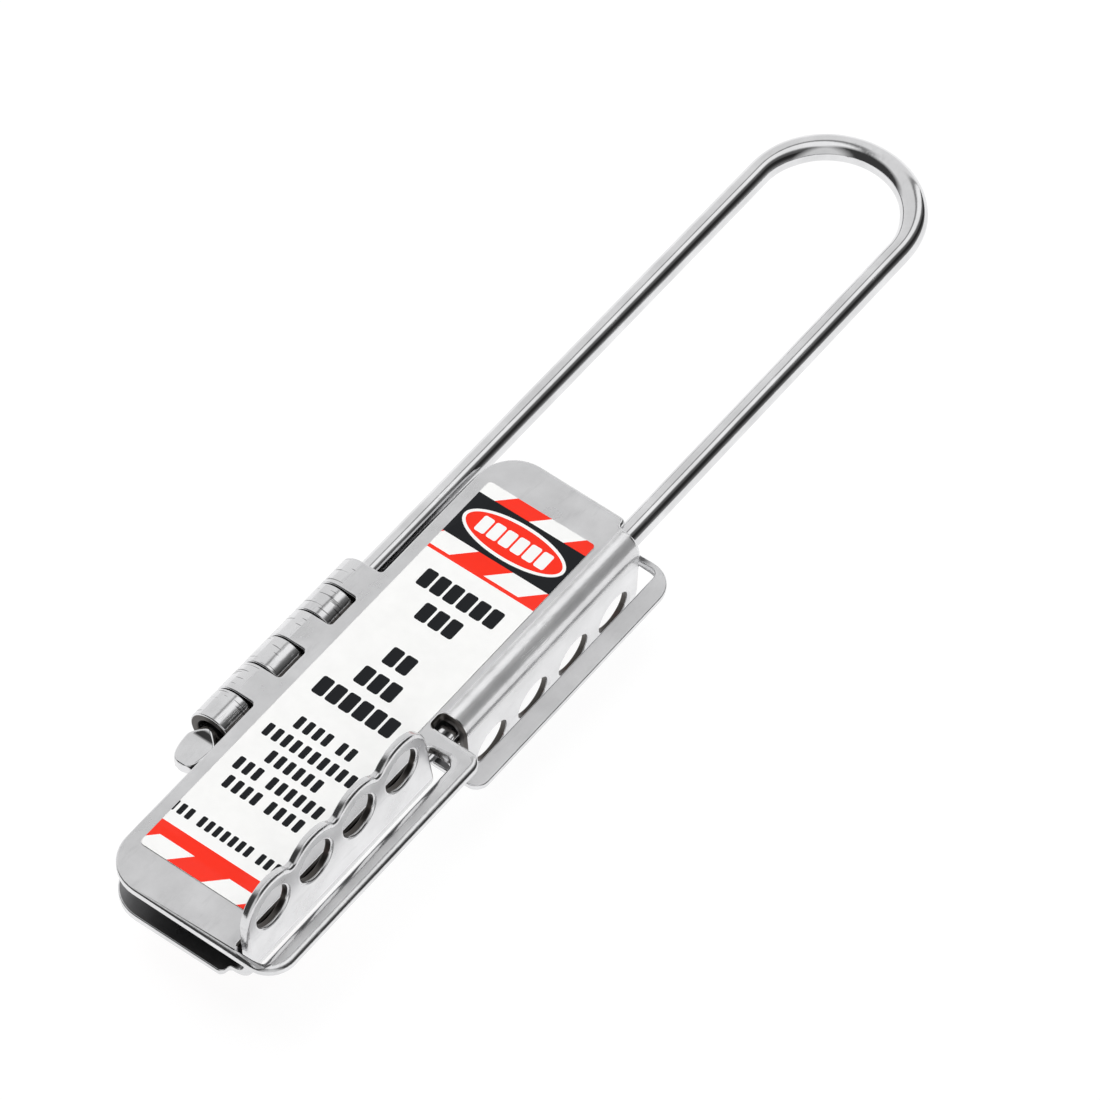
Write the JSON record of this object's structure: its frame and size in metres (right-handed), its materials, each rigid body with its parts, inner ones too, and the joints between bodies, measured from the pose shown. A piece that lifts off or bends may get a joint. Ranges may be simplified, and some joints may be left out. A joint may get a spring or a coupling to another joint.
{
  "type": "lockout hasp",
  "caption": "Hinged sheet-steel lockout hasp: scalloped padlock tabs through slots, with a long sliding U-shaped shackle as its hinge pin.",
  "frame": {"origin": "middle of the closed hasp's overall box, in the plane between the two leaves", "axes": "+Y along the hinge towards the shackle's bow, +X from the hinge to the padlock tabs, +Z out of the front leaf"},
  "size_m": [0.0511, 0.2307, 0.0364],
  "materials": {
    "leaf_steel": "tumbled satin stainless with bright rounded edges",
    "shackle_steel": "polished",
    "label": "printed vinyl under clear laminate"
  },
  "bodies": {
    "back_leaf": {"back_leaf": "leaf_steel", "back_label": "label"},
    "front_leaf": {"front_leaf": "leaf_steel", "front_label": "label"},
    "shackle": {"shackle": "shackle_steel"}
  },
  "joints": [
    {"name": "leaf_hinge", "type": "hinge", "parent": "back_leaf", "child": "front_leaf", "pos_m": [-0.0204, -0.05378, 0], "axis": [0, -1, 0], "range_deg": [0, 250]},
    {"name": "shackle_slide", "type": "slide", "parent": "back_leaf", "child": "shackle", "axis": [0, -1, 0], "range_m": [0, 0.12]}
  ]
}
